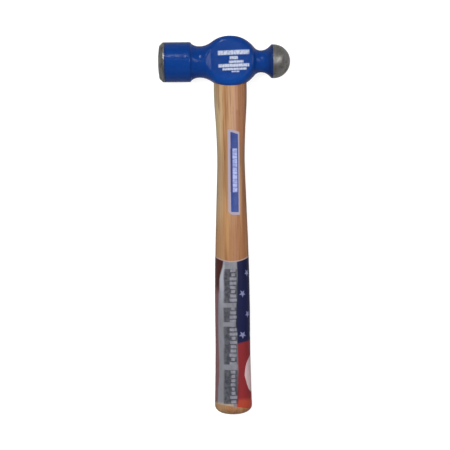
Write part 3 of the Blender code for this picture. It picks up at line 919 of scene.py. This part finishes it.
def make_head_body(outline, finish):
    """The enamelled forging from paint edge to paint edge, bored through at the eye."""
    left = stations(outline, FACE_PAINT_EDGE, -EYE_PATCH)
    middle_x = np.linspace(-EYE_PATCH, EYE_PATCH, EYE_PATCH_STEPS + 1)
    middle = np.stack([middle_x, boss_height(middle_x)], 1)
    right = stations(outline, EYE_PATCH, BALL_PAINT_EDGE)
    profile = np.concatenate([left[:-1], middle, right[1:]])
    first, last = len(left) - 1, len(left) - 1 + EYE_PATCH_STEPS
    shell = Shell()
    rows = [shell.add(forged(head_ring(x, r))) for x, r in profile]
    reach, count = EYE_PATCH_POINTS, 4 * QUARTER
    mouths = [j % count for j in range(-reach, reach)]
    mouths += list(range(2 * QUARTER - reach, 2 * QUARTER + reach))
    for i, (lower, upper) in enumerate(zip(rows, rows[1:])):
        shell.join(lower, upper, skip=mouths if first <= i < last else ())
    for end in (0, -1):
        shell.cap(rows[end], (profile[end, 0], 0, 0))
    # Each mouth: from the patch's edge in to the rim, round it and down the bore.
    border = [(first, j) for j in range(-reach, reach)]
    border += [(i, reach) for i in range(first, last)]
    border += [(last, j) for j in range(reach, -reach, -1)]
    border += [(i, -reach) for i in range(last, first, -1)]
    u = np.array([(i - first) / (last - first) * 2 - 1 for i, _ in border])
    v = np.array([j / reach for _, j in border])
    turn = np.arctan2(v, u)
    rim_x, _, rim_z = mouth_oval(turn, EYE_RIM)
    walls = []
    for way in (1, -1):
        loop = [rows[i][j % count if way > 0 else 2 * QUARTER - j] for i, j in border]
        edge = np.array([shell.points[k] for k in loop])
        for share in (0.25, 0.5, 0.75, 1.0):
            x = edge[:, 0] + (rim_x - edge[:, 0]) * share
            z = edge[:, 2] + (rim_z - edge[:, 2]) * share
            loop = shell.grow(loop, np.stack([x, way * boss_surface(x, z), z], 1))
        for bend in np.radians((22.5, 45, 67.5, 90)):
            x, y, z = mouth_oval(turn, EYE_RIM * (1 - math.sin(bend)))
            y = way * (y - EYE_RIM * (1 - math.cos(bend)))
            loop = shell.grow(loop, np.stack([x, y, z], 1))
        walls.append(loop)
    upper, lower = walls
    top = np.array([shell.points[k][1] for k in upper])
    loop = upper
    for share in np.linspace(0, 1, 9)[1:-1]:
        level = top * (1 - 2 * share)
        x, z = eye_oval(turn, 0, level)
        loop = shell.grow(loop, np.stack([x, level, z], 1))
    shell.join(loop, lower)
    return piece("head_forging", shell, finish, "head_enamel", "hammer_head", sharp=50)


def make_head_end(name, outline, low, high, finish):
    """A bare ground end of the head, closed where it meets the enamel."""
    profile = stations(outline, low, high, step=0.9 * MM, turn=math.radians(3.5))
    shell = Shell()
    rows = shell.loft([head_ring(x, r) for x, r in profile])
    tip, seat = (0, -1) if low == -math.inf else (-1, 0)
    shell.cap(rows[tip], (outline[tip, 0], 0, 0))
    shell.cap(rows[seat], (profile[seat, 0], 0, 0))
    return piece(name, shell, finish, "bare_steel", "hammer_head", sharp=50)


# The handle and its wedges.


def steel_half(y, foot):
    """Half a steel wedge's thickness at a height."""
    spread = (STEEL_WEDGE_TOP - STEEL_WEDGE_TIP) / (CUT_TOP - foot)
    return (STEEL_WEDGE_TIP + spread * (y - foot)) / 2


def steel_slot(side):
    """What a steel wedge pushes aside: the slot that it is driven into."""
    half = STEEL_WEDGE_WIDTH / 2 + SLOT_GAP
    foot = BOSS_HALF_HEIGHT - STEEL_WEDGE_DEPTH - SLOT_GAP
    loops = []
    for z in (-half, half):
        loop = []
        for y, way in ((foot, -1), (foot, 1), (CUT_TOP, 1), (CUT_TOP, -1)):
            thick = steel_half(y, foot) + SLOT_GAP
            loop.append((side * STEEL_WEDGE_OFFSET + way * thick, y, z))
        loops.append(loop)
    return prism(*loops)


def kerf_half(y):
    """Half the width of the kerf at a height."""
    spread = (KERF_TOP - KERF_FOOT) / KERF_DEPTH
    return (KERF_TOP + spread * (y - BOSS_HALF_HEIGHT)) / 2


def kerf_shell():
    foot = BOSS_HALF_HEIGHT - KERF_DEPTH
    corners = ((foot, -1), (foot, 1), (CUT_TOP, 1), (CUT_TOP, -1))
    loops = [[(x, y, way * kerf_half(y)) for y, way in corners] for x in (-EYE_PATCH, EYE_PATCH)]
    return prism(*loops)


def make_handle(finish):
    turn = np.arange(AROUND) * math.tau / AROUND
    tenon_gap, sunk, seat_gap = -0.1 * MM, 0.2 * MM, 0.05 * MM
    loops = []
    x, y, z = mouth_oval(turn, tenon_gap)
    for share in (0.2, 0.45, 0.7, 0.88, 0.97):
        loops.append(np.stack([x * share, boss_surface(x * share, z * share) - sunk, z * share], 1))
    loops.append(np.stack([x * 0.99, y - sunk - 0.08 * MM, z * 0.985], 1))
    loops.append(np.stack([x, y - sunk - 0.3 * MM, z], 1))
    for share in np.linspace(0.03, 1, 13):
        level = y * (1 - 2 * share)
        wall_x, wall_z = eye_oval(turn, tenon_gap, level)
        loops.append(np.stack([wall_x, level, wall_z], 1))
    rim_x, rim_z = oval(*handle_size(25 * MM), turn)
    for share in (0, 0.33, 0.66, 0.985):
        ring_x, ring_z = x + (rim_x - x) * share, z + (rim_z - z) * share
        ring_y = -boss_surface(ring_x, ring_z) - seat_gap
        loops.append(np.stack([ring_x, ring_y, ring_z], 1))
    coped = boss_surface(rim_x, rim_z) + seat_gap
    start = coped + 0.28 * MM
    for share in np.linspace(0, 1, 10):
        loops.append(handle_skin(turn, start + (COPE_END - start) * share))
    loops.insert(-10, handle_skin(turn, coped + 0.08 * MM, -0.09 * MM))
    dome = HANDLE_STATIONS[-1, 0]
    steps = round((dome - COPE_END) / (2.6 * MM))
    for step in range(1, steps + 1):
        loops.append(handle_skin(turn, COPE_END + (dome - COPE_END) * step / steps))
    for step in range(1, 17):
        share = math.sin(math.pi / 2 * step / 16)
        loops.append(handle_skin(turn, dome + (HANDLE_BOTTOM - dome) * share))
    flat = loops[-1]
    for share in (0.66, 0.33):
        loops.append(flat * (share, 1, share))
    shell = Shell()
    rows = shell.loft(loops)
    shell.cap(rows[0], (0, BOSS_HALF_HEIGHT - sunk, 0))
    shell.cap(rows[-1], (0, -HANDLE_BOTTOM, 0))
    handle = piece("hickory_handle", shell, finish, "hickory", "handle")
    slots = [steel_slot(side) for side in (-1, 1)]
    cut(handle, [kerf_shell(), *slots])
    return handle


def make_wooden_wedge(finish):
    """The wooden wedge in the kerf, its top trimmed to the crown."""
    shell = Shell()
    sunk, gap, foot_gap, bevel = 0.18 * MM, 0.05 * MM, 0.6 * MM, 0.15 * MM
    foot = BOSS_HALF_HEIGHT - KERF_DEPTH + foot_gap
    loops = []
    for x in np.linspace(-WOOD_WEDGE_LENGTH / 2, WOOD_WEDGE_LENGTH / 2, 21):
        top = boss_height(x) - sunk
        levels = np.linspace(top - bevel, foot, 9)
        side = [(y, kerf_half(y) - gap) for y in levels]
        crest = [(top, kerf_half(top) - bevel - gap), (top + 0.02 * MM, 0.6 * MM)]
        half = crest[::-1] + side
        loops.append([(x, y, z) for y, z in half] + [(x, y, -z) for y, z in half[::-1]])
    rows = shell.loft(loops)
    for end in (0, -1):
        shell.cap(rows[end], (loops[end][0][0], 8 * MM, 0))
    wedge = piece("kerf_wedge", shell, finish, "wedge_wood", "wooden_wedge", sharp=30)
    cut(wedge, [steel_slot(side) for side in (-1, 1)], sharp=30)
    return wedge


def make_steel_wedge(name, side, node, finish):
    """A steel wedge driven across the wooden one, its top burred by the punch."""
    shell = Shell()
    half, foot = STEEL_WEDGE_WIDTH / 2, BOSS_HALF_HEIGHT - STEEL_WEDGE_DEPTH
    middle, bevel = side * STEEL_WEDGE_OFFSET, 0.22 * MM
    top = float(boss_height(middle)) - 0.06 * MM
    thick = steel_half(top, foot)
    loops = []
    for z in np.linspace(-half, half, 25):
        end = min(half - abs(z), bevel) / bevel
        loop = []
        for share in np.linspace(-1, 1, 9):
            x = middle + share * (thick - bevel * 0.6)
            dent = noise.noise(Vector((x * 900, z * 500, side * 3))) * 0.12 * MM
            edge = 0.14 * MM * (1 - end) + 0.05 * MM * share**4
            loop.append((x, top - 0.12 * MM + dent - edge, z))
        for way in (1, -1):
            levels = np.linspace(top - bevel - 0.1 * MM, foot, 8)
            run = [(middle + way * steel_half(y, foot), y, z) for y in levels]
            loop += run[::way]
        loops.append(loop)
    rows = shell.loft(loops)
    for end in (0, -1):
        shell.cap(rows[end], (middle, 15 * MM, loops[end][0][2]))
    return piece(name, shell, finish, "bare_steel", node, sharp=35)


# What is stuck on the handle.


def skin_normals(points):
    """Outward unit normals of a grid of points that runs down and round the handle."""
    down = np.gradient(points, axis=0)
    across = np.gradient(points, axis=1)
    normal = np.cross(across, down)
    normal /= np.linalg.norm(normal, axis=2, keepdims=True)
    return normal * np.sign(np.sum(normal * points * (1, 0, 1), axis=2, keepdims=True))


def make_label(finish):
    """A thin sticker with rounded corners, its ends cut on a slant."""
    half, corner = LABEL_WIDTH / 2, LABEL_CORNER
    ease = (1 - np.cos(np.linspace(0, math.pi / 2, 7))) * corner
    middle = np.linspace(corner, LABEL_LENGTH - corner, 72)[1:-1]
    along = np.concatenate([ease, middle, LABEL_LENGTH - ease[::-1]])
    columns = np.linspace(-1, 1, 19)
    inset = np.maximum(corner - np.minimum(along, LABEL_LENGTH - along), 0)
    reach = half - corner + np.sqrt(np.maximum(corner**2 - inset**2, 0))
    across = reach[:, None] * columns[None, :]
    x = LABEL_CENTRE_X + across
    top = LABEL_TOP_FALL * np.maximum(across - LABEL_TOP_BEND, 0) - LABEL_TOP_RISE
    foot = LABEL_FOOT_FALL * np.minimum(across - LABEL_FOOT_BEND, 0) + LABEL_FOOT_DROP
    share = along[:, None] / LABEL_LENGTH
    below = LABEL_TOP + along[:, None] + top * (1 - share) + foot * share
    half_width, half_thickness = handle_size(below)
    z = half_thickness * (1 - (np.abs(x) / half_width) ** OVAL_POWER) ** (1 / OVAL_POWER)
    skin = np.stack([x, -below, z], 2)
    normal = skin_normals(skin)
    shell = Shell()
    grids = []
    for lift in (SEAT_LIFT, LABEL_LIFT):
        grids.append([shell.add(row) for row in skin + normal * lift])
    rims = []
    for grid in grids:
        shell.join_all(grid, skip=[len(columns) - 1])
        rim = grid[0] + [row[-1] for row in grid[1:]]
        rim += grid[-1][-2::-1] + [row[0] for row in grid[-2:0:-1]]
        rims.append(rim)
    shell.join(*rims)
    return piece("handle_sticker", shell, finish, "label_film", "handle_label", sharp=60)


def make_grip_film(finish):
    """The printed sleeve, its upper edge wavy, its lower edge drawn over the start of the dome."""
    around, rows = 160, 96
    turn = np.arange(around) * math.tau / around
    top = FILM_TOP - FILM_WAVE * np.cos(2 * turn)
    bottom = FILM_BOTTOM + FILM_SLANT * np.cos(turn)
    share = np.linspace(0, 1, rows + 1)[:, None]
    below = top + (bottom - top) * share
    skin = handle_skin(np.broadcast_to(turn, below.shape), below)
    wrapped = np.concatenate([skin[:, -2:], skin, skin[:, :2]], 1)
    normal = skin_normals(wrapped)[:, 2:-2]
    shell = Shell()
    inner = [shell.add(row) for row in skin + normal * SEAT_LIFT]
    lift = np.full(below.shape, FILM_LIFT)
    for i in range(rows + 1):
        for j in range(around):
            p = Vector(skin[i, j]) * 260
            lift[i, j] += FILM_RUCK * noise.noise(Vector((p.x, p.y * 0.4, p.z)))
    lift[0] -= FILM_EDGE_DROP
    lift[-1] -= FILM_EDGE_DROP
    outer = [shell.add(row) for row in skin + normal * lift[:, :, None]]
    for grid in (inner, outer):
        shell.join_all(grid)
    shell.join(inner[0], outer[0])
    shell.join(inner[-1], outer[-1])
    return piece("grip_sleeve", shell, finish, "printed_film", "grip_film", sharp=60)


# The studio.


def make_floor():
    mesh = bpy.data.meshes.new("floor")
    corners = [(-1, -1, 0), (1, -1, 0), (1, 1, 0), (-1, 1, 0)]
    mesh.from_pydata([Vector(corner) * FLOOR_HALF for corner in corners], [], [(0, 1, 2, 3)])
    floor = add_object("floor", mesh)
    g = Graph("pale_floor")
    glow = g.scale(g.node("LightPath").outputs["Is Camera Ray"], *FLOOR_GLOW)
    more = {"Emission Color": (1, 1, 1, 1), "Emission Strength": glow}
    mesh.materials.append(g.finish((0.3, 0.3, 0.3, 1), 0.9, Specular_IOR_Level=0.1, **more))


def make_light(name, place, size, power, mirrored):
    """A soft light aimed at the origin."""
    data = bpy.data.lights.new(name, "AREA")
    data.shape, data.energy = "RECTANGLE", power
    data.size, data.size_y = size
    light = add_object(name, data)
    light.location = place
    light.rotation_euler = (Vector() - light.location).to_track_quat("-Z", "Y").to_euler()
    light.visible_camera = False
    light.visible_glossy = mirrored


def make_studio():
    make_floor()
    for name, settings in LIGHTS.items():
        make_light(name, *settings)
    world = bpy.data.worlds.new("studio")
    bpy.context.scene.world = world
    world.use_nodes = True
    tree = world.node_tree
    kinds = ("TexCoord", "SeparateXYZ", "MapRange")
    place, split, height = (tree.nodes.new("ShaderNode" + kind) for kind in kinds)
    for end, fade, strength in zip(("Min", "Max"), SKY_FADE, SKY_STRENGTH):
        height.inputs[f"From {end}"].default_value = fade
        height.inputs[f"To {end}"].default_value = strength
    tree.links.new(place.outputs["Generated"], split.inputs[0])
    tree.links.new(split.outputs[2], height.inputs["Value"])
    tree.links.new(height.outputs[0], tree.nodes["Background"].inputs["Strength"])
    tree.nodes["Background"].inputs["Color"].default_value = (1, 1, 1, 1)


def make_camera():
    """A long lens straight over the hammer, turned very slightly."""
    data = bpy.data.cameras.new("camera")
    data.lens, data.sensor_width = LENS, SENSOR
    data.clip_start, data.clip_end = 0.05, 100
    camera = add_object("camera", data)
    camera.location = EYE + CAMERA_PLACE
    camera.rotation_euler = (0, 0, math.radians(CAMERA_TURN))
    bpy.context.scene.camera = camera


def main():
    outline = head_outline()
    make_head_body(outline, enamel_material())
    face_steel = ground_steel_material("ground_face_steel", 1.0)
    make_head_end("striking_face", outline, -math.inf, FACE_PAINT_EDGE, face_steel)
    ball_steel = ground_steel_material("turned_ball_steel", -1.0)
    make_head_end("ball_peen", outline, BALL_PAINT_EDGE, math.inf, ball_steel)
    make_handle(hickory_material())
    make_wooden_wedge(wedge_wood_material())
    struck = wedge_steel_material()
    make_steel_wedge("wedge_face_side", -1, "steel_wedge_face_side", struck)
    make_steel_wedge("wedge_peen_side", 1, "steel_wedge_peen_side", struck)
    make_label(label_material())
    make_grip_film(film_material())
    make_studio()
    make_camera()
    bpy.context.scene.view_settings.view_transform = "Standard"


main()
